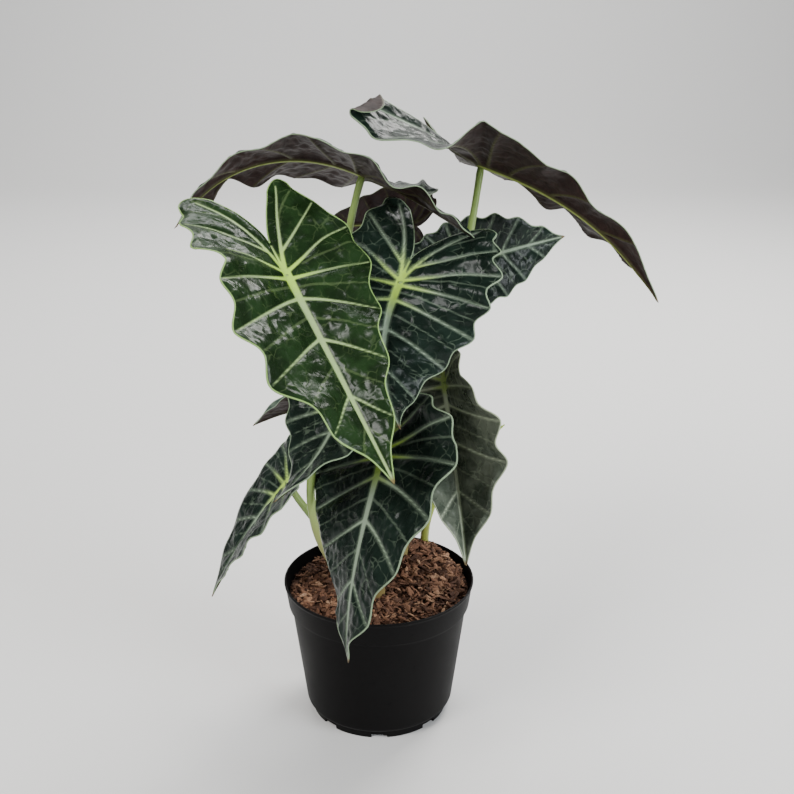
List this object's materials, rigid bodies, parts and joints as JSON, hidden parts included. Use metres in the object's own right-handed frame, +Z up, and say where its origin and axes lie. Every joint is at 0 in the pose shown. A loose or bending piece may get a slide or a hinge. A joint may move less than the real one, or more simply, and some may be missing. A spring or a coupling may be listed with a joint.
{
  "type": "potted plant",
  "caption": "Alocasia with arrow-shaped, pale-veined dark leaves on slim stems, growing in bark mix in a black nursery pot.",
  "frame": {"origin": "centre of the foot disc's flat underside, where the pot stands", "axes": "+Z up, -Y to the front where the leaf hangs over the rim, +X to the right"},
  "size_m": [0.2677, 0.2338, 0.3861],
  "materials": {
    "black_plastic": "satin",
    "bark_mix": "rough",
    "bright_leaf": "glossy",
    "dark_leaf": "glossy",
    "stem": "satin",
    "shoot": "satin"
  },
  "bodies": {
    "root": {"nursery_pot": "black_plastic", "potting_mix": "bark_mix", "bright_leaf": "bright_leaf", "bright_leaf_stem": "stem", "centre_leaf": "dark_leaf", "centre_leaf_stem": "stem", "left_arching_leaf": "dark_leaf", "left_arching_leaf_stem": "stem", "right_arching_leaf": "dark_leaf", "right_arching_leaf_stem": "stem", "right_back_leaf": "dark_leaf", "right_back_leaf_stem": "stem", "rim_leaf": "dark_leaf", "rim_leaf_stem": "stem", "right_hanging_leaf": "dark_leaf", "right_hanging_leaf_stem": "stem", "left_low_leaf": "dark_leaf", "left_low_leaf_stem": "stem", "inner_small_leaf": "dark_leaf", "inner_small_leaf_stem": "stem", "left_back_small_leaf": "dark_leaf", "left_back_small_leaf_stem": "stem", "back_leaf": "dark_leaf", "back_leaf_stem": "stem", "new_shoot": "shoot"}
  },
  "joints": []
}
